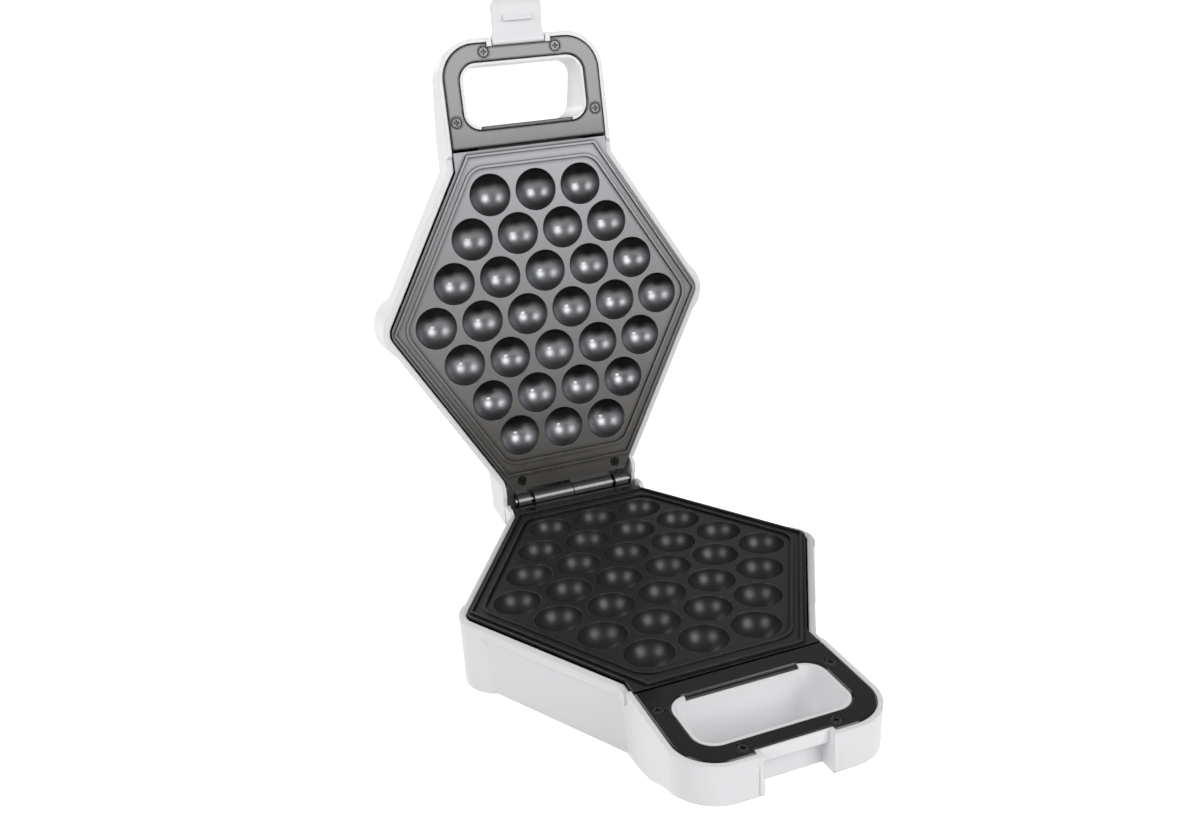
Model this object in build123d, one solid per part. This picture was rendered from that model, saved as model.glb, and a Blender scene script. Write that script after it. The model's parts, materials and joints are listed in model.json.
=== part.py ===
from build123d import *
import math
import os

os.makedirs("parts", exist_ok=True)

# Dish lattice: seven rows of round dishes that fill a hexagon
row_counts = (3, 4, 5, 6, 5, 4, 3)
pitch = 30.0
dish_radius = 13.3            # mouth of a dish, at the land between the dishes
dish_depth = 11.5
dish_floor = 2.5              # metal under a dish
land_drop = 1.5               # the land lies this far below the rim

# Cast plate, offsets measured outwards from the hexagon through the outer dish centres
bead_offset = 17.0
bead_width = 1.5
bead_drop = 0.4
bead_corner = 12.0
band_drop = 1.0
ridge_offset = 22.2
ridge_width = 1.3
ridge_end = 102.5             # ridge across the front and the back
edge_offset = 25.5
edge_drop = 1.2
edge_corner = 8.0
skirt_depth = 7.0
skirt_wall = 2.5
slab_bottom = 6.0
front_flange_end = 106.0
flange_clearance = 0.7        # to the handle's inner walls, at the top
rear_flange_end = 114.0
tongue_half = 34.0
tongue_reach = 4.0
tongue_thick = 2.0

# Housings: drafted tubs that taper into the handle
wall = 2.5
plate_gap = 1.2               # plate edge to housing wall
draft = 3.0                   # degrees
side_corner = 10.0
hex_top_drop = 3.6            # housing rim below the plate rim
handle_top_drop = 1.5
lip_height = 5.5
lip_step = 0.8
body_depth = 42.0
handle_depth = 22.5           # at the handle's front
sweep_start = -96.0           # the underside starts to rise here
sweep_end = -172.0            # and is level again here
post_radius = 20.0
post_reach = 107.9
handle_half = 53.4
handle_front = 173.2
handle_corner = 24.0
cheek_half = 46.5
cheek_wall = 4.0
cheek_start = 108.0
cheek_drop = 0.5
base_heel = 3.0               # rear walls, behind the hinge axis
lid_heel = 16.5

# Finger window and the handle trim around it
window_half = 38.2
window_front = 156.8
window_rear = 120.2
window_corner = 9.0
window_wall = 1.9
trim_thick = 2.2
trim_drop = 1.0
trim_clearance = 0.25
trim_chamfer = 0.7
trim_rear = 107.2
step_half = 30.0
step_drop = 1.2
trim_screw_places = ((-45.5, -124.0), (45.5, -124.0), (-23.2, -164.8), (23.2, -164.8))

# Latch
latch_half = 16.8
latch_side_clearance = 0.6
latch_thick = 2.8
latch_pivot_reach = 170.3     # from the dish centre, towards the handle's front
latch_pivot_rise = 3.0        # into the lid, from the lid's plate rim
latch_tab_half = 15.7         # above its eyes
latch_length = 30.0
latch_corner = 10.0
latch_curl = 4.0
latch_pin_radius = 1.25
ear_width = 3.2               # of the lid's ears that hold the latch pin
latch_pin_end = 2.4           # length of pin held in each ear
notch_reach = 2.9             # how far the trims are cut back for the latch
hook_reach = 12.3             # pivot to the hook's catching face
hook_height = 2.3
hook_length = 4.6
hook_half = 9.3
latch_rest_angle = 80.0       # degrees from latched
recess_clearance = 0.35
catch_clearance = 0.35
recess_wall = 2.2             # beside the latch's recess in the base
pocket_depth = 6.5            # under the band that the hook catches
dimple_radius = 0.9

# Hinge
hinge_reach = 121.0           # axis, behind the middle of the plate
knuckle_radius = 5.4
knuckle_length = 26.8
knuckle_seam = 0.4
ear_gap = 2.4
ear_length = 8.6
pin_radius = 2.5
pin_clearance = 0.05
pin_head_radius = 3.6
pin_head = 1.4
clip_thick = 0.8
closed_gap = 0.5              # between the two plate rims when shut
open_angle = 97.0
stop_gap = 0.3
web_thick = 3.6

# Fasteners and running clearances
screw_radius = 1.5
screw_head_radius = 2.9
screw_head = 1.4
screw_length = 11.0
counterbore_clearance = 0.35
boss_radius = 3.7
plate_screw_x = 32.4
plate_screw_y = 108.4
plate_screw_radius = 2.0
plate_screw_head = 2.9
plate_boss_radius = 4.6

# Heating set in each half
heater_radius = 3.3
heater_inset = 14.0
heater_bend = 14.0
heater_seat = 0.05
heater_end = 92.0
cold_pin_radius = 1.4
cold_pin = 7.0
strap_span = 24.0
strap_width = 10.0
strap_thick = 1.5
stud_radius = 3.2
reflector_thick = 0.8
reflector_offset = 12.0
reflector_rim = 8.0
clamp_screw_radius = 1.5
clamp_screw_head = 3.0
clamp_screw_length = 8.0
thermostat_radius = 7.6
thermostat_height = 7.5
thermostat_x = 15.0
fuse_radius = 2.2
fuse_length = 24.0
fuse_y = 38.0
lead_radius = 1.2

# Base fittings
foot_radius = 7.0
foot_height = 2.6
foot_peg_radius = 3.0
foot_places = ((-40.0, 98.0), (40.0, 98.0), (-42.0, -80.0), (42.0, -80.0))
block_size = (30.0, 11.0, 12.0)
block_y = 104.0
gland_x = 27.0
gland_depth = 29.0            # below the plate rim
gland_radius = 5.0
gland_flange_radius = 7.5
gland_flange = 2.2
gland_reach = 9.0
gland_bore = 3.6
vent_length = 26.0
vent_width = 2.4
vent_count = 7
vent_pitch = 8.0

# Indicator lamps in the lid
lens_radius = 4.0
lens_rise = 1.4
lens_y = -72.0
lens_x = 9.0
lamp_radius = 2.0
lamp_length = 9.0
holder_thick = 1.6

row_pitch = pitch * math.sqrt(3) / 2
slope_x = 1 / math.cos(math.radians(30))      # how far a corner moves for each mm of offset
slope_y = math.tan(math.radians(30))
corner_x = (max(row_counts) - 1) / 2 * pitch
end_y = (len(row_counts) - 1) / 2 * row_pitch
housing_offset = edge_offset + plate_gap + wall
sphere_radius = (dish_radius ** 2 + dish_depth ** 2) / (2 * dish_depth)
dish_bottom = land_drop + dish_depth
bowl_bottom = dish_bottom + dish_floor
heater_z = -(bowl_bottom + heater_seat + heater_radius)
stud_end = bowl_bottom + 2 * heater_seat + 2 * heater_radius
reflector_top = stud_end + strap_thick
axis_rise = closed_gap / 2                    # hinge axis above a half's own plate rim
base_rear = hinge_reach + base_heel
lid_rear = hinge_reach + lid_heel
beyond = post_reach + 22.0                    # half width that passes a housing's sides
front_flange_half = handle_half - wall - flange_clearance
trim_top = -trim_drop
trim_bottom = -(trim_drop + trim_thick)
notch_edge = -handle_front + wall + trim_clearance + notch_reach
eye_radius = latch_thick / 2 + 1.0
recess_face = -latch_pivot_reach + latch_thick / 2 + recess_clearance
latch_opening = latch_half + latch_side_clearance
eps = 0.5


def side_x(offset, y):
    """Half width of the slanting sides, at y, for a hexagon grown by offset."""
    return corner_x + slope_x * offset - slope_y * abs(y)


def rounded(points, radii):
    """A flat face through the points, with the corners in radii rounded."""
    face = make_face(Polyline(*points, close=True))
    for (x, y), radius in radii:
        corner = face.vertices().sort_by_distance((x, y, 0))[0]
        face = fillet(corner, radius)
    return face


def mirrored(points):
    """The points of the right side, then those of the left side in turn."""
    return list(points) + [(-x, y) for x, y in reversed(points)]


def hexagon(offset, end, corner=0.0):
    """A hexagon with slanting sides at offset and straight ends at y = end."""
    side = [(side_x(offset, end), -end), (side_x(offset, 0), 0), (side_x(offset, end), end)]
    points = mirrored(side)
    return rounded(points, [(p, corner) for p in points] if corner else [])


def up_from(z, face, height):
    return extrude(Pos(0, 0, z) * face, height)


def disc(x, y, top, bottom, radius):
    """An upright round bar between two heights."""
    return Pos(x, y, bottom) * Cylinder(radius, top - bottom, align=(Align.CENTER, Align.CENTER, Align.MIN))


def bar_x(x0, x1, y, z, radius):
    """A round bar along X."""
    bar = Cylinder(radius, x1 - x0, align=(Align.CENTER, Align.CENTER, Align.MIN))
    return Pos(x0, y, z) * Rot(0, 90, 0) * bar


def block(x0, x1, y0, y1, z0, z1):
    return Pos(x0, y0, z0) * Box(x1 - x0, y1 - y0, z1 - z0, align=(Align.MIN, Align.MIN, Align.MIN))


def side_solid(points, half):
    """A solid with the given (y, z) outline, as wide as half on each side of the middle."""
    face = make_face(Polyline(*[(-half, y, z) for y, z in points], close=True))
    return extrude(face, 2 * half, dir=(1, 0, 0))


def dish_centres():
    centres = []
    for row, count in enumerate(row_counts):
        y = row * row_pitch - end_y
        centres += [((i - (count - 1) / 2) * pitch, y) for i in range(count)]
    return centres


def tub_outline(inset, rear):
    """Plan of a housing: handle loop, hexagon and the cheeks beside the hinge."""
    offset = housing_offset - inset
    handle = handle_half - inset
    cheek = cheek_half - inset
    shoulder = (side_x(offset, 0) - handle) / slope_y
    heel = (side_x(offset, 0) - cheek) / slope_y
    side = [
        (handle, -handle_front + inset),
        (handle, -shoulder),
        (side_x(offset, 0), 0),
        (cheek, heel),
        (cheek, rear - inset),
    ]
    points = mirrored(side)
    nose = handle_corner - inset
    corners = [((sign * handle, -handle_front + inset), nose) for sign in (1, -1)]
    corners += [((sign * side_x(offset, 0), 0), side_corner) for sign in (1, -1)]
    return rounded(points, corners)


def underside(inset, rear):
    """The (y, z) outline between a housing's rim and its floor."""
    front = -handle_front - 10
    floor = -(body_depth - inset)
    handle_floor = -(handle_depth - inset)
    middle = (sweep_start + sweep_end) / 2
    level = (floor + handle_floor) / 2
    bottom = Line((0, rear + 10, floor), (0, sweep_start, floor))
    dip = TangentArc((0, sweep_start, floor), (0, middle, level), tangent=(0, -1, 0))
    rise = TangentArc((0, middle, level), (0, sweep_end, handle_floor), tangent=dip % 1)
    ahead = Line((0, sweep_end, handle_floor), (0, front, handle_floor))
    if inset:
        top = [(0, front, eps), (0, rear + 10, eps)]
    else:
        top = [
            (0, front, -handle_top_drop),
            (0, -trim_rear + 3, -handle_top_drop),
            (0, -trim_rear + 5, -hex_top_drop),
            (0, cheek_start, -hex_top_drop),
            (0, cheek_start + 3, -cheek_drop),
            (0, rear + 10, -cheek_drop),
        ]
    lid = Polyline((0, front, handle_floor), *top, (0, rear + 10, floor))
    face = make_face([bottom, dip, rise, ahead, lid])
    return extrude(face, beyond, both=True)


def tub(rear):
    """A housing as a solid of its outer shape, rim up."""
    body = extrude(tub_outline(0, rear), -body_depth - eps, taper=draft)
    lip_bottom = hex_top_drop + lip_height
    lip = extrude(tub_outline(-lip_step, rear), -lip_bottom)
    lip &= block(-beyond, beyond, -trim_rear + 4, cheek_start, -body_depth, eps)
    posts = []
    for sign in (-1, 1):
        posts.append(disc(sign * (post_reach - post_radius), 0, 0, -body_depth - eps, post_radius))
    shape = (body + lip + posts) & underside(0, rear)
    return shape


def hollow(rear):
    """What is taken out of a housing to leave its wall."""
    room = extrude(tub_outline(wall, rear), -body_depth, taper=draft)
    return room & underside(wall, rear)


def window_face(inset):
    half = window_half - inset
    front = -window_front + inset
    back = -window_rear - inset
    points = [(half, front), (half, back), (-half, back), (-half, front)]
    return rounded(points, [(p, window_corner - inset) for p in points])


def housing(rear):
    """A housing with its finger window, screw bosses and latch or hinge cut-outs still to come."""
    tube = extrude(window_face(-window_wall), -body_depth)
    tube &= underside(0, rear)
    shape = tub(rear) - hollow(rear) + tube
    floor = body_depth - wall
    bosses = []
    for x, y in trim_screw_places:
        bosses.append(disc(x, y, trim_bottom, -body_depth, boss_radius) & underside(wall / 2, rear))
    for sign in (-1, 1):
        bosses.append(disc(sign * plate_screw_x, plate_screw_y, -slab_bottom, -floor - eps, plate_boss_radius))
    rest_top = trim_bottom - tongue_thick - 2 * trim_clearance
    rest = block(-tongue_half, tongue_half, -front_flange_end - tongue_reach, -front_flange_end - 1.5,
                 -body_depth, rest_top) & underside(wall / 2, rear)
    shape = shape + bosses + rest
    holes = [extrude(window_face(0), -body_depth - eps)]
    for x, y in trim_screw_places:
        holes.append(disc(x, y, 0, trim_top - screw_length, screw_radius))
    for sign in (-1, 1):
        holes.append(disc(sign * plate_screw_x, plate_screw_y, 0, -slab_bottom - 12, plate_screw_radius))
    # the window's rear wall is lowered under the trim's tongue
    holes.append(block(-step_half, step_half, -window_rear - eps, -window_rear + window_wall + eps,
                       trim_bottom - trim_clearance, eps))
    return shape - holes


def plate(knuckles):
    """One cast plate, rim up: dishes, bead, ridge, skirt, flanges and its hinge knuckles."""
    shoulder = (side_x(edge_offset, 0) - front_flange_half) / slope_y
    side = [
        (front_flange_half, -front_flange_end),
        (front_flange_half, -shoulder),
        (side_x(edge_offset, 0), 0),
        (side_x(edge_offset, rear_flange_end), rear_flange_end),
    ]
    corners = [((sign * side_x(edge_offset, 0), 0), edge_corner) for sign in (1, -1)]
    outline = rounded(mirrored(side), corners)
    ridge_outer = ridge_offset + ridge_width
    shape = extrude(Pos(0, 0, -edge_drop) * outline, -(slab_bottom - edge_drop))
    inner = offset(outline, -skirt_wall, kind=Kind.INTERSECTION)
    skirt = extrude(Pos(0, 0, -slab_bottom) * (outline - inner), -(skirt_depth - slab_bottom))
    shape += skirt
    end_out = ridge_end + ridge_width
    shape += up_from(-edge_drop - 0.2, hexagon(ridge_outer, end_out), edge_drop + 0.2)
    bead_outer = hexagon(bead_offset + bead_width, end_y + bead_offset + bead_width, bead_corner + bead_width)
    bead_inner = hexagon(bead_offset, end_y + bead_offset, bead_corner)
    shape -= up_from(-band_drop, hexagon(ridge_offset, ridge_end) - bead_outer, band_drop + 1)
    shape -= up_from(-bead_drop, bead_outer, bead_drop + 1)
    shape -= up_from(-land_drop, bead_inner, land_drop + 1)
    tongue = block(-tongue_half, tongue_half, -front_flange_end - tongue_reach, -front_flange_end + 4,
                   trim_bottom - trim_clearance - tongue_thick, trim_bottom - trim_clearance)
    bowls = []
    for x, y in dish_centres():
        cone = Cone(dish_radius * 0.68, dish_radius + 1.0, bowl_bottom - slab_bottom + eps,
                    align=(Align.CENTER, Align.CENTER, Align.MIN))
        bowls.append(Pos(x, y, -bowl_bottom) * cone)
    studs = [disc(x, y, -slab_bottom + 1, -stud_end, stud_radius) for x, y in stud_places()]
    shape = shape + (bowls + studs + [tongue])
    cuts = []
    for x, y in dish_centres():
        cuts.append(Pos(x, y, sphere_radius - dish_bottom) * Sphere(sphere_radius))
    for x, y in stud_places():
        cuts.append(disc(x, y, -stud_end + clamp_screw_length - 1.5, -stud_end - eps, clamp_screw_radius))
    for sign in (-1, 1):
        x = sign * plate_screw_x
        cuts.append(disc(x, plate_screw_y, eps, -slab_bottom - eps, plate_screw_radius + 0.25))
        cuts.append(disc(x, plate_screw_y, eps, -edge_drop - screw_head, plate_screw_head + counterbore_clearance))
        cuts.append(disc(x, plate_screw_y, -slab_bottom, -skirt_depth - eps, plate_boss_radius + 0.3))
    shape = shape - cuts
    # hinge knuckles on their webs, bored for the pin
    for x0, x1 in knuckles:
        web = block(x0, x1, rear_flange_end - 1.5, hinge_reach, -slab_bottom, -slab_bottom + web_thick)
        shape = shape + [bar_x(x0, x1, hinge_reach, axis_rise, knuckle_radius), web]
        shape -= bar_x(x0 - eps, x1 + eps, hinge_reach, axis_rise, pin_radius + pin_clearance)
    return shape


def stud_places():
    """Where the straps' screws stand, each side of the heater."""
    half = strap_span / 2
    y = end_y - heater_inset
    middle_x = (side_x(-heater_inset, 0) + side_x(-heater_inset, y)) / 2
    places = [(0, -y - half), (0, -y + half)]
    for sign in (-1, 1):
        for reach in (-half, half):
            places.append((sign * (middle_x + reach * math.cos(math.radians(30))), y / 2 + reach / 2))
    return places


def heater():
    y = end_y - heater_inset
    end = side_x(-heater_inset, y)
    tip = side_x(-heater_inset, 0)
    points = [(-end, heater_end), (-end, y), (-tip, 0), (-end, -y), (end, -y), (tip, 0), (end, y), (end, heater_end)]
    path = FilletPolyline(*[(px, py, heater_z) for px, py in points], radius=heater_bend)
    tube = sweep(Plane(path @ 0, z_dir=path % 0) * Circle(heater_radius), path)
    pins = []
    for sign in (-1, 1):
        pin = Cylinder(cold_pin_radius, cold_pin, align=(Align.CENTER, Align.CENTER, Align.MIN))
        pins.append(Pos(sign * end, heater_end - 0.01, heater_z) * Rot(-90, 0, 0) * pin)
    return tube + pins


def straps():
    places = stud_places()
    made = []
    for (x0, y0), (x1, y1) in zip(places[::2], places[1::2]):
        angle = math.degrees(math.atan2(y1 - y0, x1 - x0))
        long = math.dist((x0, y0), (x1, y1)) + strap_width
        strap = extrude(SlotOverall(long, strap_width), -strap_thick)
        strap = Pos((x0 + x1) / 2, (y0 + y1) / 2, -stud_end) * Rot(0, 0, angle) * strap
        for x, y in ((x0, y0), (x1, y1)):
            strap -= disc(x, y, 0, -body_depth, clamp_screw_radius + 0.15)
        made.append(strap)
    return made


def clamp_screws():
    made = []
    seat = -reflector_top - reflector_thick
    for x, y in stud_places():
        shank = disc(x, y, seat + clamp_screw_length, seat, clamp_screw_radius)
        made.append(shank + disc(x, y, seat, seat - 1.8, clamp_screw_head))
    return made


def reflector():
    """A thin pan under the heater, held by the straps' screws."""
    end = end_y + reflector_offset
    outer = hexagon(reflector_offset, end, 6.0)
    inner = hexagon(reflector_offset - reflector_thick, end - reflector_thick, 6.0 - reflector_thick)
    pan = up_from(-reflector_top - reflector_thick, outer, reflector_thick + reflector_rim)
    pan -= up_from(-reflector_top, inner, reflector_rim + eps)
    holes = [disc(x, y, 0, -body_depth, clamp_screw_radius + 0.2) for x, y in stud_places()]
    holes.append(disc(thermostat_x, 0, 0, -body_depth, thermostat_radius + 2.5))
    leg_x = side_x(-heater_inset, end_y - heater_inset)
    room = heater_radius + 1.2
    for x in (-leg_x, leg_x):
        holes.append(block(x - room, x + room, end - 3, end + 3, heater_z - room, 0))
    return pan - holes


def thermostat():
    """A snap disc switch pressed against the bottom of a middle dish."""
    top = -bowl_bottom
    body = disc(thermostat_x, 0, top, top - thermostat_height, thermostat_radius)
    cap = disc(thermostat_x, 0, top - thermostat_height, top - thermostat_height - 2.5, thermostat_radius - 1.8)
    blades = []
    for sign in (-1, 1):
        x = thermostat_x + sign * 3.6
        base = top - thermostat_height - 2.5
        blades.append(block(x - 0.4, x + 0.4, -3.0, 3.0, base - 5.0, base + 0.5))
    return body + cap + blades


def lead(points, radius=lead_radius, bend=4.0):
    path = FilletPolyline(*points, radius=bend)
    return sweep(Plane(path @ 0, z_dir=path % 0) * Circle(radius), path)


def fuse():
    """A sleeved thermal fuse that lies across the pan."""
    z = -reflector_top + fuse_radius + 0.05
    sleeve = bar_x(-fuse_length / 2, fuse_length / 2, fuse_y, z, fuse_radius)
    ends = bar_x(-fuse_length / 2 - 4, fuse_length / 2 + 4, fuse_y, z, 0.6)
    return sleeve + ends


def heating_set(prefix):
    """What heats one plate, in the half's own frame."""
    return {
        prefix + "_heater": [heater()],
        prefix + "_heater_straps": straps(),
        prefix + "_strap_screws": clamp_screws(),
        prefix + "_reflector": [reflector()],
        prefix + "_thermostat": [thermostat()],
        prefix + "_thermal_fuse": [fuse()],
    }


def trim(notch_half):
    """The glossy frame around the finger window, with a notch at the latch."""
    half = handle_half - wall - trim_clearance
    front = -handle_front + wall + trim_clearance
    nose = handle_corner - wall - trim_clearance
    points = [(half, front), (half, -trim_rear), (-half, -trim_rear), (-half, front)]
    face = rounded(points, [((sign * half, front), nose) for sign in (1, -1)])
    face -= window_face(-window_wall - trim_clearance)
    shape = extrude(Pos(0, 0, trim_top) * face, -trim_thick)
    shape = chamfer(shape.faces().sort_by(Axis.Z)[-1].edges(), trim_chamfer)
    edge = -window_rear + window_wall
    step = block(-step_half + trim_clearance, step_half - trim_clearance, -window_rear, edge + 1,
                 trim_bottom, trim_top - step_drop)
    shape += step
    cuts = [block(-notch_half, notch_half, front - 1, front + notch_reach, trim_bottom - 1, 1)]
    for x, y in trim_screw_places:
        cuts.append(disc(x, y, eps, trim_bottom - eps, screw_radius + 0.2))
        cuts.append(disc(x, y, eps, trim_top - screw_head, screw_head_radius + counterbore_clearance))
    return shape - cuts


def cross_screw(x, y, seat, radius, head_radius, head, length):
    """A pan-head screw with a cross recess, head up, seated at z = seat."""
    shape = disc(x, y, seat + head, seat, head_radius) + disc(x, y, seat, seat - length, radius)
    arm = head_radius * 0.6
    for turn in (0, 90):
        slot = Box(2 * arm, 0.8, 1.6)
        shape -= Pos(x, y, seat + head) * Rot(0, 0, turn) * slot
    return shape


def trim_screws():
    seat = trim_top - screw_head
    made = []
    for x, y in trim_screw_places:
        made.append(cross_screw(x, y, seat, screw_radius - 0.05, screw_head_radius, screw_head - 0.2,
                                screw_length - screw_head - 1))
    return made


def plate_screws():
    seat = -edge_drop - screw_head
    made = []
    for sign in (-1, 1):
        made.append(cross_screw(sign * plate_screw_x, plate_screw_y, seat, plate_screw_radius - 0.05,
                                plate_screw_head, screw_head - 0.2, 13.0))
    return made


# The latch, drawn latched: it hangs from its pin in front of the base's handle.
def latch():
    """Rounded tab with an eye for its pin, a curled tip and a hook ledge on its inner face."""
    half = latch_half
    y = -latch_pivot_reach
    z = -latch_pivot_rise
    rear = y + latch_thick / 2
    front = y - latch_thick / 2
    flat_end = z + latch_length - 9.0
    tip = z + latch_length
    half_way = (flat_end + tip) / 2
    bow = latch_curl * 0.28
    inner = ThreePointArc((0, rear, flat_end), (0, rear + bow, half_way), (0, rear + latch_curl, tip))
    outer = ThreePointArc((0, front, flat_end), (0, front + bow, half_way), (0, front + latch_curl, tip))
    edges = [
        inner,
        Line((0, rear + latch_curl, tip), (0, front + latch_curl, tip)),
        outer,
        Polyline((0, front, flat_end), (0, front, z), (0, rear, z), (0, rear, flat_end)),
    ]
    shape = extrude(make_face(edges), half, both=True)
    neck = z + eye_radius
    side = [(half, z - 10), (half, neck + 0.5), (latch_tab_half, neck + 3.5), (latch_tab_half, tip)]
    outline = rounded(mirrored(side), [((sign * latch_tab_half, tip), latch_corner) for sign in (1, -1)])
    shape &= extrude(Plane.XZ * outline, 400)
    catch = z + hook_reach
    profile = [(rear - 0.5, catch), (rear + hook_height, catch), (rear + hook_height, catch + 1.2),
               (rear - 0.5, catch + hook_length)]
    shape += side_solid(profile, hook_half)
    shape += bar_x(-half, half, y, z, eye_radius)
    shape -= bar_x(-half - eps, half + eps, y, z, latch_pin_radius + pin_clearance)
    return shape


def place_base(shape):
    return Pos(0, 0, -closed_gap / 2) * shape


def place_lid(shape, angle=open_angle):
    """A half turned over onto the base, then opened about the hinge."""
    turned = Pos(0, 0, closed_gap / 2) * shape.mirror(Plane.XY)
    return Pos(0, hinge_reach, 0) * Rot(-angle, 0, 0) * Pos(0, -hinge_reach, 0) * turned


def latched_in_lid(shape, angle):
    """The latch turned about its own pin, still in the lid half's frame."""
    pin = (0, -latch_pivot_reach, -latch_pivot_rise)
    return Pos(*pin) * Rot(angle, 0, 0) * Pos(*[-v for v in pin]) * shape


def cheek_cut_base():
    """Rounds the base's cheeks under the hinge and clears the barrel between them."""
    rear = base_rear + 12
    knee = base_rear - 6
    arc = ThreePointArc((0, knee, -cheek_drop), (0, base_rear - 6 * (1 - math.sin(math.radians(45))),
                        -cheek_drop - 6 * (1 - math.cos(math.radians(45)))), (0, base_rear, -cheek_drop - 6))
    rest = Polyline((0, base_rear, -cheek_drop - 6), (0, rear, -cheek_drop - 6), (0, rear, 5), (0, knee, 5),
                    (0, knee, -cheek_drop))
    corner = extrude(make_face([arc, rest]), beyond, both=True)
    slot = block(-cheek_half + cheek_wall, cheek_half - cheek_wall, cheek_start - 1, rear, -10.0, 5)
    return corner + slot


def stop_face(depth):
    """A point of the lid's heel that meets the base's rear wall when open, as (y, z) in the lid half's frame."""
    a = math.radians(open_angle)
    y = base_rear + stop_gap - hinge_reach
    z = -depth
    return (hinge_reach + y * math.cos(a) - z * math.sin(a), axis_rise - y * math.sin(a) - z * math.cos(a))


def cheek_cut_lid():
    near = stop_face(2.0)
    far = stop_face(lid_rear - hinge_reach + 20)
    front = hinge_reach - 3.0
    heel = side_solid([(front, 5), (front, near[1] + 1.0), near, far, (far[0], 5)], beyond)
    slot = block(-cheek_half + cheek_wall, cheek_half - cheek_wall, cheek_start - 1, lid_rear - wall, -10.0, 5)
    return heel + slot


def latch_recess():
    """Cut in the base's handle front: a recess for the tab, deeper under the band that the hook catches."""
    catch = closed_gap + latch_pivot_rise - hook_reach + catch_clearance
    low = -handle_depth - 5
    outer = block(-latch_opening, latch_opening, -handle_front - 5, recess_face, low, eps)
    pocket = block(-latch_opening, latch_opening, recess_face - 1, recess_face + pocket_depth, low, catch)
    return outer, pocket


def base_housing():
    shape = housing(base_rear) - cheek_cut_base()
    half = latch_opening + recess_wall
    front = -handle_front + 0.2
    cover = trim_bottom - trim_clearance
    # walls close the handle beside and behind the recess, and its rim follows the trim's notch
    backing = block(-half, half, front, recess_face + pocket_depth + recess_wall, -body_depth, cover)
    backing &= underside(wall / 2, base_rear)
    rim = block(-half, half, front, notch_edge - trim_clearance, cover - 0.1, -handle_top_drop)
    shape = shape + [backing, rim] - latch_recess()
    shape -= Pos(-latch_half + 2.5, recess_face + pocket_depth, -14.0) * Sphere(dimple_radius)
    floor = -body_depth
    pegs = [disc(x, y, floor + wall + eps, floor - eps, foot_peg_radius + 0.1) for x, y in foot_places]
    slots = []
    for i in range(vent_count):
        y = (i - (vent_count - 1) / 2) * vent_pitch + 20
        slot = extrude(SlotOverall(vent_length, vent_width), wall + 2 * eps)
        slots.append(Pos(0, y, floor - eps) * slot)
    bore = Cylinder(gland_radius + 0.1, 30)
    seat = Cylinder(gland_flange_radius + 0.3, 10, align=(Align.CENTER, Align.CENTER, Align.MIN))
    gland_hole = Pos(gland_x, base_rear, -gland_depth) * Rot(90, 0, 0) * bore
    gland_seat = Pos(gland_x, base_rear - gland_lean(), -gland_depth) * Rot(-90, 0, 0) * seat
    return shape - pegs - slots - gland_hole - gland_seat


def lid_housing():
    shape = housing(lid_rear) - cheek_cut_lid()
    half = latch_opening
    room_end = -latch_pivot_reach + eye_radius + latch_side_clearance
    notch = block(-half, half, -handle_front - 5, room_end, -latch_pivot_rise - 6.5, eps)
    ears = []
    for sign in (-1, 1):
        x0, x1 = sorted((sign * half, sign * (half + ear_width)))
        ears.append(block(x0, x1, -handle_front + 0.2, notch_edge - trim_clearance, -body_depth, trim_top))
    back = block(-half - ear_width, half + ear_width, room_end, room_end + 1.8, -body_depth,
                 trim_bottom - trim_clearance)
    shape += [wall_part & underside(wall / 2, lid_rear) for wall_part in ears + [back]]
    shape -= notch
    reach = half + latch_pin_end
    shape -= bar_x(-reach, reach, -latch_pivot_reach, -latch_pivot_rise, latch_pin_radius + 0.02)
    lenses = []
    for sign in (-1, 1):
        lenses.append(disc(sign * lens_x, lens_y, -body_depth + 20, -body_depth - eps, lens_radius + 0.1))
    return shape - lenses


def roof_z(y):
    """Height of the outer floor at y, along the sweep up to the handle."""
    middle = (sweep_start + sweep_end) / 2
    rise = (body_depth - handle_depth) / 2
    run = (sweep_start - sweep_end) / 2
    radius = (run ** 2 + rise ** 2) / (2 * rise)
    if y > sweep_start:
        return -body_depth
    if y > middle:
        return -body_depth + radius - math.sqrt(radius ** 2 - (sweep_start - y) ** 2)
    return -handle_depth - radius + math.sqrt(radius ** 2 - (y - sweep_end) ** 2)


def lens(sign):
    """A domed lens pushed into the lid's top, with a rim inside."""
    x = sign * lens_x
    z = roof_z(lens_y)
    stem = disc(x, lens_y, z + wall + 2.4, z - 0.6, lens_radius)
    cap = Pos(x, lens_y, z - 0.6 + 4.6) * Sphere(lens_radius + lens_rise)
    cap &= disc(x, lens_y, z, z - 4, lens_radius)
    return stem + cap - disc(x, lens_y, z + wall + 3, z + 1.6, lamp_radius + 0.4)


def lamp(sign):
    x = sign * lens_x
    z = roof_z(lens_y)
    return disc(x, lens_y, z + 1.8 + lamp_length, z + 1.8, lamp_radius)


def lamp_holder():
    """A moulded bar across both lamps, standing on the lid's roof."""
    z = roof_z(lens_y) + wall + 4.0
    bar = block(-lens_x - 8, lens_x + 8, lens_y - 5, lens_y + 5, z, z + holder_thick)
    legs = []
    for sign in (-1, 1):
        x = sign * (lens_x + 6.5)
        leg = block(x - 1.5, x + 1.5, lens_y - 4, lens_y + 4, -body_depth, z + 0.1)
        legs.append(leg & underside(wall, lid_rear))
        bar -= disc(sign * lens_x, lens_y, z + 5, z - 5, lamp_radius + 0.02)
    return bar + legs


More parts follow.
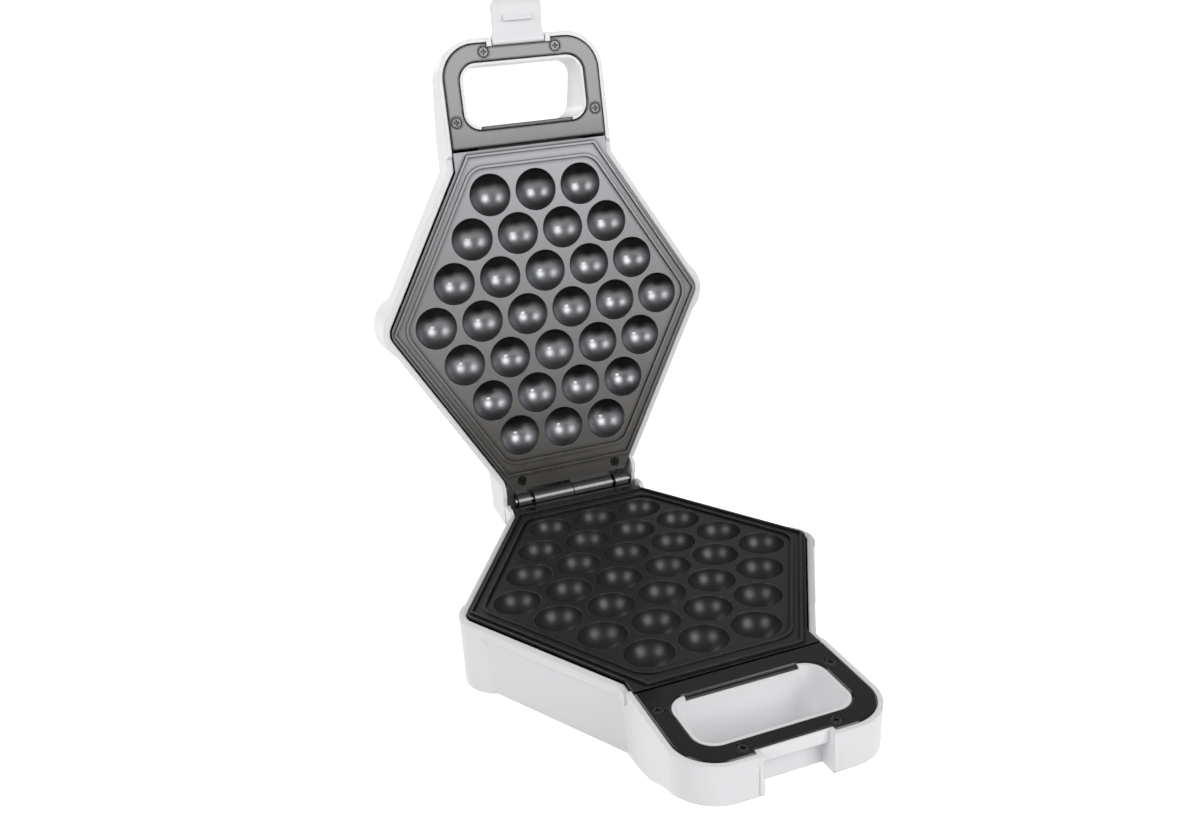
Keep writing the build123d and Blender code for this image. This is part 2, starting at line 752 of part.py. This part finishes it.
def hinge_pin():
    reach = knuckle_seam / 2 + knuckle_length + ear_gap + ear_length
    shape = bar_x(-reach - 0.3, reach + 0.3 + clip_thick + 1.2, hinge_reach, 0, pin_radius)
    shape += bar_x(-reach - 0.3 - pin_head, -reach - 0.3, hinge_reach, 0, pin_head_radius)
    groove = bar_x(reach + 0.3, reach + 0.3 + clip_thick, hinge_reach, 0, pin_head_radius + 1)
    groove -= bar_x(reach, reach + 3, hinge_reach, 0, pin_radius - 0.5)
    return shape - groove


def hinge_clip():
    reach = knuckle_seam / 2 + knuckle_length + ear_gap + ear_length + 0.3
    ring = bar_x(reach + 0.05, reach + clip_thick - 0.05, hinge_reach, 0, pin_head_radius + 0.4)
    ring -= bar_x(reach, reach + clip_thick, hinge_reach, 0, pin_radius - 0.5)
    gap = block(reach, reach + clip_thick, hinge_reach - 1.6, hinge_reach + 1.6, -10, 0)
    return ring - gap


def feet():
    made = []
    floor = -body_depth
    for x, y in foot_places:
        foot = Cone(foot_radius - 0.8, foot_radius, foot_height, align=(Align.CENTER, Align.CENTER, Align.MIN))
        peg = disc(x, y, floor + wall + 1.2, floor, foot_peg_radius)
        made.append(Pos(x, y, floor - foot_height) * foot + peg)
    return made


def gland():
    """A flanged bush in the rear wall, bored for a lead."""
    outer = Cylinder(gland_flange_radius, gland_flange, align=(Align.CENTER, Align.CENTER, Align.MIN))
    neck = Pos(0, 0, -wall - 3) * Cylinder(gland_radius, wall + 3.2, align=(Align.CENTER, Align.CENTER, Align.MIN))
    nose = Cone(gland_radius + 1.2, gland_bore + 1.2, gland_reach, align=(Align.CENTER, Align.CENTER, Align.MIN))
    bore = Cylinder(gland_bore, 60)
    shape = outer + neck + Pos(0, 0, gland_flange - 0.01) * nose - bore
    rear = base_rear - gland_lean()
    return Pos(gland_x, rear, -gland_depth) * Rot(-90, 0, 0) * shape


def gland_lean():
    """How far the drafted rear wall has come in at the gland."""
    return gland_depth * math.tan(math.radians(draft))


def terminal_block():
    length, width, height = block_size
    floor = -body_depth + wall
    shape = block(-length / 2, length / 2, block_y - width / 2, block_y + width / 2, floor, floor + height)
    for i in (-1, 0, 1):
        x = i * length / 3
        shape -= disc(x, block_y, floor + height + eps, floor + height - 4, 2.2)
        shape -= Pos(x, block_y, floor + 4) * Rot(90, 0, 0) * Cylinder(1.6, width + 2)
    return shape


def heater_leads():
    """Leads from a terminal block to the heater's two cold pins, each ending in a pushed-on eye."""
    end = side_x(-heater_inset, end_y - heater_inset)
    floor = -body_depth + wall
    made = []
    for sign in (-1, 1):
        x = sign * end
        near = sign * block_size[0] / 3
        y_out = block_y - block_size[1] / 2
        y_pin = heater_end + cold_pin / 2
        points = [(near, y_out, floor + 4), (near, y_pin, floor + 4), (x, y_pin, floor + 4), (x, y_pin, heater_z - 1.6)]
        eye = Pos(x, y_pin, heater_z) * Rot(90, 0, 0) * Cylinder(cold_pin_radius + 1.0, 3.0)
        eye -= Pos(x, y_pin, heater_z) * Rot(90, 0, 0) * Cylinder(cold_pin_radius + 0.02, 4.0)
        made.append(lead(points, bend=2.8) + eye)
    return made


def latch_pin():
    reach = latch_opening + latch_pin_end
    return bar_x(-reach, reach, -latch_pivot_reach, -latch_pivot_rise, latch_pin_radius)


halves = {}
halves["base"] = {
    "base_housing": [base_housing()],
    "base_handle_trim": [trim(latch_opening + recess_wall + trim_clearance)],
    "base_trim_screws": trim_screws(),
    "lower_plate": [plate(((-knuckle_seam / 2 - knuckle_length, -knuckle_seam / 2),
                           (knuckle_seam / 2 + knuckle_length + ear_gap,
                            knuckle_seam / 2 + knuckle_length + ear_gap + ear_length)))],
    "lower_plate_screws": plate_screws(),
    "rubber_feet": feet(),
    "cord_gland": [gland()],
    "lower_terminal_block": [terminal_block()],
    "lower_leads": heater_leads(),
    **heating_set("lower"),
}
halves["lid"] = {
    "lid_housing": [lid_housing()],
    "lid_handle_trim": [trim(latch_opening + ear_width + trim_clearance)],
    "lid_trim_screws": trim_screws(),
    "upper_plate": [plate(((knuckle_seam / 2, knuckle_seam / 2 + knuckle_length),
                           (-knuckle_seam / 2 - knuckle_length - ear_gap - ear_length,
                            -knuckle_seam / 2 - knuckle_length - ear_gap)))],
    "upper_plate_screws": plate_screws(),
    "power_lens": [lens(-1)],
    "ready_lens": [lens(1)],
    "power_lamp": [lamp(-1)],
    "ready_lamp": [lamp(1)],
    "lamp_holder": [lamp_holder()],
    "upper_terminal_block": [terminal_block()],
    "upper_leads": heater_leads(),
    "latch_pin": [latch_pin()],
    "latch": [latched_in_lid(latch(), latch_rest_angle)],
    **heating_set("upper"),
}

nodes = {}
for name, solids in halves["base"].items():
    nodes[name] = [place_base(s) for s in solids]
for name, solids in halves["lid"].items():
    nodes[name] = [place_lid(s) for s in solids]
nodes["hinge_pin"] = [hinge_pin()]
nodes["hinge_clip"] = [hinge_clip()]

boxes = [s.bounding_box() for group in nodes.values() for s in group]
low = [min(tuple(b.min)[i] for b in boxes) for i in range(3)]
high = [max(tuple(b.max)[i] for b in boxes) for i in range(3)]
shift = Pos(-(low[0] + high[0]) / 2, -(low[1] + high[1]) / 2, -low[2])

for name, solids in nodes.items():
    placed = [shift * s for s in solids]
    shape = placed[0] if len(placed) == 1 else Compound(placed)
    export_step(shape, f"parts/{name}.step")
print("size", [round(b - a, 2) for a, b in zip(low, high)])
print("hinge axis at", [round(v, 3) for v in (shift * Pos(0, hinge_reach, 0)).position])
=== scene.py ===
import json
import math

import bpy
from mathutils import Matrix, Vector

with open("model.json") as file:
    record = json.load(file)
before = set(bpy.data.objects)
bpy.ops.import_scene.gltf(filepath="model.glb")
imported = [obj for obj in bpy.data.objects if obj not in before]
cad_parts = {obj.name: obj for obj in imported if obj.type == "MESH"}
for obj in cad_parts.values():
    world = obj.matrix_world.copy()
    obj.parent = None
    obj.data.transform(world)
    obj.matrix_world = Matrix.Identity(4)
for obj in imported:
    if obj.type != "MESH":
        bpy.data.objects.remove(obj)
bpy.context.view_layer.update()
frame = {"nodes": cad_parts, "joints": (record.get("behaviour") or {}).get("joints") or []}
nodes = frame["nodes"]
print("frame loaded:", len(nodes), "nodes")

lidHinge = next(joint for joint in frame["joints"] if joint["name"] == "lid_hinge")
hingeAxis = Vector(lidHinge["pos_m"])
openAngle = math.radians(lidHinge["range_deg"][1])  # at rest the lid stands this far open

# the photograph's frame, in pixels
photoWidth = 1200
photoHeight = 826

photoView = {
    "focalPixels": 1164.3,
    "centre": (574.4, 339.9),
    "azimuth": -18.53,
    "elevation": 17.03,
    "roll": 4.26,
    "distance": 0.7001,
    "target": (-0.0036, 0.0734, 0.1600),
    "sensorWidth": 36,
    "nearClip": 0.02,
}


def makeCamera(view):
    az, el, roll = (math.radians(view[k]) for k in ("azimuth", "elevation", "roll"))
    ahead = Vector((-math.sin(az) * math.cos(el), math.cos(az) * math.cos(el), -math.sin(el)))
    right = Vector((math.cos(az), math.sin(az), 0))
    up = right.cross(ahead)
    rolledRight = right * math.cos(roll) - up * math.sin(roll)
    rolledUp = right * math.sin(roll) + up * math.cos(roll)
    lens = bpy.data.cameras.new("photoCamera")
    lens.sensor_width = view["sensorWidth"]
    lens.lens = view["focalPixels"] / photoWidth * lens.sensor_width
    lens.shift_x = (photoWidth / 2 - view["centre"][0]) / photoWidth
    lens.shift_y = (view["centre"][1] - photoHeight / 2) / photoWidth
    lens.clip_start = view["nearClip"]
    camera = bpy.data.objects.new("photoCamera", lens)
    bpy.context.scene.collection.objects.link(camera)
    turn = Matrix((rolledRight, rolledUp, -ahead)).transposed().to_4x4()
    place = Vector(view["target"]) - ahead * view["distance"]
    camera.matrix_world = Matrix.Translation(place) @ turn
    bpy.context.scene.camera = camera


makeCamera(photoView)
print("camera set")


def newMaterial(name):
    material = bpy.data.materials.new(name)
    material.use_nodes = True
    tree = material.node_tree
    place = tree.nodes.new("ShaderNodeTexCoord")
    return material, tree, tree.nodes["Principled BSDF"], place


# cloudy or stretched noise on object coordinates
def addNoise(tree, place, scale, detail, stretch=(1, 1, 1)):
    mapping = tree.nodes.new("ShaderNodeMapping")
    mapping.inputs["Scale"].default_value = stretch
    tree.links.new(place.outputs["Object"], mapping.inputs["Vector"])
    noise = tree.nodes.new("ShaderNodeTexNoise")
    noise.inputs["Scale"].default_value = scale
    noise.inputs["Detail"].default_value = detail
    tree.links.new(mapping.outputs["Vector"], noise.inputs["Vector"])
    return noise.outputs["Fac"]


def addRamp(tree, value, start, startColour, end, endColour):
    node = tree.nodes.new("ShaderNodeValToRGB")
    first, last = node.color_ramp.elements
    first.position, last.position = start, end
    first.color, last.color = (*startColour, 1), (*endColour, 1)
    tree.links.new(value, node.inputs["Fac"])
    return node.outputs["Color"]


def addRange(tree, value, fromMin, fromMax, toMin, toMax):
    node = tree.nodes.new("ShaderNodeMapRange")
    node.inputs["From Min"].default_value = fromMin
    node.inputs["From Max"].default_value = fromMax
    node.inputs["To Min"].default_value = toMin
    node.inputs["To Max"].default_value = toMax
    tree.links.new(value, node.inputs["Value"])
    return node.outputs["Result"]


# a socket takes another node's output, a colour or a plain value
def fill(tree, socket, value):
    if isinstance(value, bpy.types.NodeSocket):
        tree.links.new(value, socket)
    elif socket.type == "RGBA":
        socket.default_value = (*value, 1)
    else:
        socket.default_value = value


def addMix(tree, share, first, second):
    node = tree.nodes.new("ShaderNodeMix")
    node.data_type = "RGBA"
    tree.links.new(share, node.inputs[0])
    fill(tree, node.inputs[6], first)
    fill(tree, node.inputs[7], second)
    return node.outputs[2]


# the same for plain values
def addBlend(tree, share, first, second):
    node = tree.nodes.new("ShaderNodeMix")
    tree.links.new(share, node.inputs[0])
    fill(tree, node.inputs[2], first)
    fill(tree, node.inputs[3], second)
    return node.outputs[0]


def addMaths(tree, operation, first, second):
    node = tree.nodes.new("ShaderNodeMath")
    node.operation = operation
    fill(tree, node.inputs[0], first)
    fill(tree, node.inputs[1], second)
    return node.outputs[0]


def addVectorMaths(tree, operation, first, second):
    node = tree.nodes.new("ShaderNodeVectorMath")
    node.operation = operation
    fill(tree, node.inputs[0], first)
    fill(tree, node.inputs[1], second)
    return node.outputs["Value" if operation == "DOT_PRODUCT" else "Vector"]


def addLength(tree, vector):
    node = tree.nodes.new("ShaderNodeVectorMath")
    node.operation = "LENGTH"
    tree.links.new(vector, node.inputs[0])
    return node.outputs["Value"]


# how far a point lies along a direction, from object coordinates
def addDistance(tree, place, direction, offset):
    dot = addVectorMaths(tree, "DOT_PRODUCT", place.outputs["Object"], direction)
    return addMaths(tree, "ADD", dot, offset)


# an edge shows where the eased normal leaves the true one, by the cosine of the angle between them
edgeFrom = (0.99, 0.945)


# the normal of an edge eased to the given radius, and how near that edge is, from 0 to 1
def addEdge(tree, radius):
    rounding = tree.nodes.new("ShaderNodeBevel")
    rounding.samples = 4
    rounding.inputs["Radius"].default_value = radius
    shape = tree.nodes.new("ShaderNodeNewGeometry")
    turned = addVectorMaths(tree, "DOT_PRODUCT", rounding.outputs["Normal"], shape.outputs["Normal"])
    return rounding.outputs["Normal"], addRange(tree, turned, *edgeFrom, 0, 1)


# how far a point lies in a recess or slot, from 0 to 1, as its open share falls from start to full; it masks
# painted shade
def addCavity(tree, distance, start=0.75, full=0.35):
    cavity = tree.nodes.new("ShaderNodeAmbientOcclusion")
    cavity.samples = 4
    cavity.inputs["Distance"].default_value = distance
    return addRange(tree, cavity.outputs["AO"], start, full, 0, 1)


grainHeight = 0.0002


# a fine grain, laid over the eased normal where there is one
def addGrain(tree, shader, grain, strength, normal):
    bump = tree.nodes.new("ShaderNodeBump")
    bump.inputs["Strength"].default_value = strength
    bump.inputs["Distance"].default_value = grainHeight
    tree.links.new(grain, bump.inputs["Height"])
    if normal:
        tree.links.new(normal, bump.inputs["Normal"])
    tree.links.new(bump.outputs["Normal"], shader.inputs["Normal"])


# what a look has where it says nothing else
plainLook = {
    "spread": 0.06,
    "stretch": (1, 1, 1),
    "roughSpread": 0.12,
    "metallic": 0.0,
    "ior": 1.5,
    "coat": 0.0,
    "coatRoughness": 0.06,
    "alpha": 1.0,
    "grain": 0.05,
    "grainScale": 900,
    # the near black of painted shade on edges and in slots
    "paintedShadeColour": (0.004, 0.004, 0.004),
}

# "edge" is the radius that a piece's edges are eased to, "paintedEdgeShade" how much of its colour they lose
# to painted shade and dark reflection, and "cavity" how wide a slot is painted dark as shade too
looks = {
    "whitePlastic": {
        "colour": (0.785, 0.785, 0.80), "roughness": 0.38, "scale": 18, "spread": 0.012, "grain": 0.03,
        "edge": 0.0008,
    },
    "lidTrim": {
        "colour": (0.016, 0.014, 0.013), "roughness": 0.16, "ior": 1.75, "scale": 25, "spread": 0.15,
        "grain": 0.012, "edge": 0.0022, "paintedEdgeShade": 0.97,
    },
    "baseTrim": {
        "colour": (0.006, 0.006, 0.006), "roughness": 0.13, "scale": 25, "spread": 0.15, "grain": 0.012,
        "edge": 0.0007,
    },
    "trimScrew": {
        "colour": (0.11, 0.105, 0.11), "roughness": 0.28, "metallic": 0.85, "scale": 300, "spread": 0.2,
        "edge": 0.0005, "cavity": 0.0016, "paintedEdgeShade": 0.9,
    },
    "plateScrew": {
        "colour": (0.018, 0.018, 0.018), "roughness": 0.35, "metallic": 0.6, "scale": 300, "spread": 0.2,
        "edge": 0.0003, "cavity": 0.0016, "paintedEdgeShade": 0.8,
    },
    "footRubber": {
        "colour": (0.02, 0.02, 0.02), "roughness": 0.8, "scale": 200, "spread": 0.2, "grain": 0.3,
    },
    "innerPlastic": {"colour": (0.62, 0.58, 0.48), "roughness": 0.5, "scale": 80},
    "leadSleeve": {
        "colour": (0.55, 0.52, 0.45), "roughness": 0.7, "scale": 600, "spread": 0.2, "grain": 0.4,
    },
    "heaterSteel": {
        "colour": (0.18, 0.15, 0.12), "roughness": 0.42, "metallic": 0.8, "scale": 60, "spread": 0.3,
    },
    "brightSteel": {"colour": (0.56, 0.56, 0.57), "roughness": 0.3, "metallic": 1.0, "scale": 120},
    "panAluminium": {
        "colour": (0.66, 0.66, 0.67), "roughness": 0.35, "metallic": 1.0, "scale": 90, "stretch": (1, 12, 1),
    },
    "fuseSleeve": {
        "colour": (0.75, 0.72, 0.62), "roughness": 0.75, "scale": 500, "spread": 0.15, "grain": 0.4,
    },
    "redLens": {"colour": (0.62, 0.01, 0.008), "roughness": 0.08, "scale": 60, "coat": 0.6},
    "greenLens": {"colour": (0.02, 0.42, 0.05), "roughness": 0.08, "scale": 60, "coat": 0.6},
    "lampGlass": {"colour": (0.9, 0.86, 0.8), "roughness": 0.05, "scale": 60, "alpha": 0.5},
    "hingeSteel": {
        "colour": (0.16, 0.16, 0.165), "roughness": 0.22, "metallic": 1.0, "scale": 150, "spread": 0.15,
    },
    "glandRubber": {
        "colour": (0.03, 0.03, 0.03), "roughness": 0.6, "scale": 200, "spread": 0.2, "grain": 0.2,
    },
}


def plainMaterial(name, ownLook):
    look = {**plainLook, **ownLook}
    material, tree, shader, place = newMaterial(name)
    noise = addNoise(tree, place, look["scale"], 4.0, look["stretch"])
    low = tuple(c * (1 - look["spread"]) for c in look["colour"])
    high = tuple(min(1, c * (1 + look["spread"])) for c in look["colour"])
    colour = addRamp(tree, noise, 0.3, low, 0.7, high)
    smoothest = look["roughness"] * (1 - look["roughSpread"])
    roughest = look["roughness"] * (1 + look["roughSpread"])
    tree.links.new(addRange(tree, noise, 0, 1, smoothest, roughest), shader.inputs["Roughness"])
    shader.inputs["Metallic"].default_value = look["metallic"]
    shader.inputs["IOR"].default_value = look["ior"]
    shader.inputs["Coat Weight"].default_value = look["coat"]
    shader.inputs["Coat Roughness"].default_value = look["coatRoughness"]
    shader.inputs["Alpha"].default_value = look["alpha"]
    normal = None
    if "edge" in look:
        normal, edge = addEdge(tree, look["edge"])
    # painted shade and dark reflection: eased edges and slots are painted near black and made metallic, so
    # they show no gloss
    if "paintedEdgeShade" in look:  # no gloss is left on a dark edge or in a slot
        if "cavity" in look:
            edge = addMaths(tree, "MAXIMUM", edge, addCavity(tree, look["cavity"]))
        share = addMaths(tree, "MULTIPLY", edge, look["paintedEdgeShade"])
        colour = addMix(tree, share, colour, look["paintedShadeColour"])
        tree.links.new(addRange(tree, share, 0, 1, look["metallic"], 1), shader.inputs["Metallic"])
    tree.links.new(colour, shader.inputs["Base Color"])
    addGrain(tree, shader, addNoise(tree, place, look["grainScale"], 2.0), look["grain"], normal)
    return material


# "dishSide" is the way a plate's dishes are sunk when the lid is shut, and "turn" how far it stands open
plateLooks = {
    "lowerPlate": {
        "dishSide": -1,
        "turn": 0.0,
        "landShadedHinge": (0.013, 0.013, 0.013),
        "landHandle": (0.014, 0.014, 0.014),
        "dishPaintedReflection": (0.014, 0.014, 0.014),
        "dishPaintedShade": (0.014, 0.014, 0.014),
        "riser": (0.09, 0.09, 0.092),
        "paintedEdgeHighlight": (0.20, 0.20, 0.20),
        "recessShade": (0.008, 0.008, 0.008),
        "landRoughness": 0.40,
        "dishRoughness": 0.36,
        "landMetal": 0.0,
        "dishMetal": 0.0,
        "ior": 1.5,
    },
    "upperPlate": {
        "dishSide": 1,
        "turn": openAngle,
        "landShadedHinge": (0.075, 0.069, 0.061),
        "landHandle": (0.27, 0.272, 0.285),
        "dishPaintedReflection": (0.31, 0.315, 0.33),
        "dishPaintedShade": (0.035, 0.030, 0.027),
        "riser": (0.02, 0.02, 0.02),
        "paintedEdgeHighlight": (0.42, 0.42, 0.43),
        "recessShade": (0.015, 0.014, 0.013),
        "landRoughness": 0.42,
        "dishRoughness": 0.36,
        "landMetal": 0.6,
        "dishMetal": 1.0,
        "ior": 1.6,
    },
}

# lengths and depths in metres, depths below the plate's rim
coating = {
    "rimGap": 0.00025,  # from the hinge axis to a plate's rim
    "dishDepth": (0.0016, 0.0020),  # the land lies 1.5 mm down, and the dishes go on from there
    "riserDepth": (0.0013, 0.00145),
    "riserSlope": (-0.95, -0.7),  # the normal's share along the depth
    # the painted shade on the land runs over this length
    "landLength": (0.01, 0.22),  # from the hinge
    # the slope over which each dish turns from painted shade to painted reflection
    "dishLightSlope": (-0.48, 0.28),  # the normal's share along the length
    "mottleScale": 35,
    "mottle": 0.06,
    "roughMottle": 0.5,
    "edge": 0.0004,
    "patchScale": 260,
    "patchFrom": (0.45, 0.65),
    "patchHighlight": (0.2, 0.8),
    # reach and strength of the painted shade in recesses
    "recessShadeWidth": 0.003,
    "recessShadeFrom": (0.93, 0.65),
    "grain": 0.06,
    "grainScale": 1400,
}

knuckle = {
    "radius": 0.0082,
    "blend": 0.0006,
    "colour": (0.13, 0.13, 0.133),
    "roughness": 0.30,
    "metallic": 0.9,
}


# sprayed coating, fired on: faintly orange-peeled; its colour carries painted light: shade towards the hinge
# and in recesses, a reflection and shade in each dish, and highlights in patches along its edges
def plateMaterial(name, look):
    material, tree, shader, place = newMaterial(name)
    turn = Matrix.Rotation(-look["turn"], 3, "X")
    into = turn @ Vector((0, 0, look["dishSide"]))
    along = turn @ Vector((0, -1, 0))
    depth = addDistance(tree, place, into, -hingeAxis.dot(into) - coating["rimGap"])
    length = addDistance(tree, place, along, -hingeAxis.dot(along))
    slopeIn = addVectorMaths(tree, "DOT_PRODUCT", place.outputs["Normal"], into)
    slopeAlong = addVectorMaths(tree, "DOT_PRODUCT", place.outputs["Normal"], along)
    mottle = addNoise(tree, place, coating["mottleScale"], 5.0)
    uneven = addRange(tree, mottle, 0.3, 0.7, -coating["mottle"], coating["mottle"])

    # painted shade: the land is painted darker towards the hinge, and browner on the upper plate, where the
    # reflected lamp falls off and the base shades it
    landShadeShare = addMaths(tree, "ADD", addRange(tree, length, *coating["landLength"], 0, 1), uneven)
    land = addRamp(tree, landShadeShare, 0, look["landShadedHinge"], 1, look["landHandle"])
    # painted reflection and shade: the wall of each dish that faces the handle is painted pale, as the lamps
    # it reflects, and the wall that faces the hinge dark brown, as shade
    dishLightShare = addMaths(tree, "ADD", addRange(tree, slopeAlong, *coating["dishLightSlope"], 0, 1), uneven)
    dish = addRamp(tree, dishLightShare, 0, look["dishPaintedShade"], 1, look["dishPaintedReflection"])
    dishShare = addRange(tree, depth, *coating["dishDepth"], 0, 1)

    # painted light: the steep step walls are painted dark on the upper plate, as shade and dark reflection,
    # and pale on the lower plate, as a highlight
    steep = addRange(tree, slopeIn, *coating["riserSlope"], 0, 1)
    riserLightShare = addMaths(tree, "MULTIPLY", steep, addRange(tree, depth, *coating["riserDepth"], 1, 0))
    normal, edge = addEdge(tree, coating["edge"])
    # painted highlight: the eased edges are painted pale in patches, as the light they catch
    patches = addNoise(tree, place, coating["patchScale"], 4.0)
    patchy = addRange(tree, patches, *coating["patchFrom"], *coating["patchHighlight"])
    edgeHighlightShare = addMaths(tree, "MULTIPLY", edge, patchy)
    # painted shade: recesses and the gaps round the plate are painted near black and made metallic, so they
    # lose their gloss
    recessShade = addCavity(tree, coating["recessShadeWidth"], *coating["recessShadeFrom"])
    colour = addMix(tree, riserLightShare, addMix(tree, dishShare, land, dish), look["riser"])
    colour = addMix(tree, edgeHighlightShare, colour, look["paintedEdgeHighlight"])
    colour = addMix(tree, recessShade, colour, look["recessShade"])
    rough = addRange(tree, dishShare, 0, 1, look["landRoughness"], look["dishRoughness"])
    rough = addMaths(tree, "ADD", rough, addMaths(tree, "MULTIPLY", uneven, coating["roughMottle"]))
    metal = addRange(tree, dishShare, 0, 1, look["landMetal"], look["dishMetal"])
    metal = addMaths(tree, "MAXIMUM", metal, recessShade)

    # round the hinge axis the coating is rubbed thin, like dark steel
    offAxis = addVectorMaths(tree, "SUBTRACT", place.outputs["Object"], hingeAxis)
    reach = addLength(tree, addVectorMaths(tree, "MULTIPLY", offAxis, (0, 1, 1)))
    share = addRange(tree, reach, knuckle["radius"], knuckle["radius"] + knuckle["blend"], 1, 0)
    tree.links.new(addMix(tree, share, colour, knuckle["colour"]), shader.inputs["Base Color"])
    tree.links.new(addBlend(tree, share, rough, knuckle["roughness"]), shader.inputs["Roughness"])
    tree.links.new(addBlend(tree, share, metal, knuckle["metallic"]), shader.inputs["Metallic"])
    shader.inputs["IOR"].default_value = look["ior"]
    addGrain(tree, shader, addNoise(tree, place, coating["grainScale"], 1.0), coating["grain"], normal)
    return material


materials = {name: plainMaterial(name, look) for name, look in looks.items()}
for name, look in plateLooks.items():
    materials[name] = plateMaterial(name, look)
print("materials made:", len(materials))

finishOf = {
    "base_housing": "whitePlastic",
    "lid_housing": "whitePlastic",
    "latch": "whitePlastic",
    "base_handle_trim": "baseTrim",
    "lid_handle_trim": "lidTrim",
    "base_trim_screws": "trimScrew",
    "lid_trim_screws": "trimScrew",
    "lower_plate_screws": "plateScrew",
    "upper_plate_screws": "plateScrew",
    "lower_plate": "lowerPlate",
    "upper_plate": "upperPlate",
    "hinge_pin": "hingeSteel",
    "hinge_clip": "hingeSteel",
    "latch_pin": "hingeSteel",
    "rubber_feet": "footRubber",
    "cord_gland": "glandRubber",
    "lamp_holder": "innerPlastic",
    "power_lens": "redLens",
    "ready_lens": "greenLens",
    "power_lamp": "lampGlass",
    "ready_lamp": "lampGlass",
}
for half in ("lower", "upper"):
    finishOf[half + "_terminal_block"] = "innerPlastic"
    finishOf[half + "_leads"] = "leadSleeve"
    finishOf[half + "_heater"] = "heaterSteel"
    finishOf[half + "_heater_straps"] = "brightSteel"
    finishOf[half + "_strap_screws"] = "brightSteel"
    finishOf[half + "_reflector"] = "panAluminium"
    finishOf[half + "_thermostat"] = "brightSteel"
    finishOf[half + "_thermal_fuse"] = "fuseSleeve"

for nodeName, node in nodes.items():
    node.data.materials.clear()
    node.data.materials.append(materials[finishOf[nodeName]])
print("materials on", len(nodes), "nodes")

studio = {
    "floorColour": (0.70, 0.70, 0.70),
    "floorRoughness": 0.9,
    "floorSpecular": 0.1,
    "floorSize": 30,
    "floorDrop": 0.0004,
    "nearLift": 0.80,  # how far the seen floor is lifted towards white, near the object and far off
    "farLift": 1.0,
    "liftFrom": 0.45,
    "liftTo": 1.3,
    "nearHorizon": 0.9,
    "overhead": 0.30,
    "overheadFrom": 0.13,
}


# 1 for what the camera, a shiny surface or glass sees, and 0 for what lights the object
def addSeen(tree):
    path = tree.nodes.new("ShaderNodeLightPath")
    seen = addMaths(tree, "MAXIMUM", path.outputs["Is Camera Ray"], path.outputs["Is Glossy Ray"])
    return addMaths(tree, "MAXIMUM", seen, path.outputs["Is Transmission Ray"])


def makeFloor():
    bpy.ops.object.select_all(action="DESELECT")
    bpy.ops.mesh.primitive_plane_add(size=studio["floorSize"], location=(0, 0, -studio["floorDrop"]))
    floor = bpy.context.object
    floor.name = "studioFloor"
    paint, tree, shader, place = newMaterial("studioFloor")
    shader.inputs["Base Color"].default_value = (*studio["floorColour"], 1)
    shader.inputs["Roughness"].default_value = studio["floorRoughness"]
    shader.inputs["Specular IOR Level"].default_value = studio["floorSpecular"]
    shader.inputs["Emission Color"].default_value = (1, 1, 1, 1)
    away = addLength(tree, place.outputs["Object"])
    lift = addRange(tree, away, studio["liftFrom"], studio["liftTo"], studio["nearLift"], studio["farLift"])
    tree.links.new(addMaths(tree, "MULTIPLY", addSeen(tree), lift), shader.inputs["Emission Strength"])
    floor.data.materials.append(paint)


# white to the camera, and for everything else bright near the horizon and dimmer overhead
def makeWorld():
    world = bpy.data.worlds.new("studioWorld")
    world.use_nodes = True
    bpy.context.scene.world = world
    tree = world.node_tree
    place = tree.nodes.new("ShaderNodeTexCoord")
    split = tree.nodes.new("ShaderNodeSeparateXYZ")
    tree.links.new(place.outputs["Generated"], split.inputs["Vector"])
    height = split.outputs["Z"]
    sky = addRange(tree, height, 0, studio["overheadFrom"], studio["nearHorizon"], studio["overhead"])
    path = tree.nodes.new("ShaderNodeLightPath")
    strength = addMaths(tree, "MAXIMUM", sky, path.outputs["Is Camera Ray"])
    tree.links.new(strength, tree.nodes["Background"].inputs["Strength"])
    tree.nodes["Background"].inputs["Color"].default_value = (1, 1, 1, 1)


lamps = {
    "rightBox": {"place": (0.486, -1.15, 0.785), "size": 0.8, "power": 10.5},
    "leftBox": {"place": (-1.24, -0.46, 0.785), "size": 0.8, "power": 8},
    "backBox": {"place": (-0.55, 1.35, 0.95), "size": 1.2, "power": 10},
}
lampAim = Vector((0, 0.08, 0.15))


def addLamp(name, lamp):
    light = bpy.data.lights.new(name, "AREA")
    light.shape = "SQUARE"
    light.size = lamp["size"]
    light.energy = lamp["power"]
    holder = bpy.data.objects.new(name, light)
    bpy.context.scene.collection.objects.link(holder)
    place = Vector(lamp["place"])
    turn = (lampAim - place).to_track_quat("-Z", "Y").to_matrix().to_4x4()
    holder.matrix_world = Matrix.Translation(place) @ turn


makeFloor()
makeWorld()
for name, lamp in lamps.items():
    addLamp(name, lamp)
bpy.context.scene.view_settings.view_transform = "Standard"
print("studio lit")
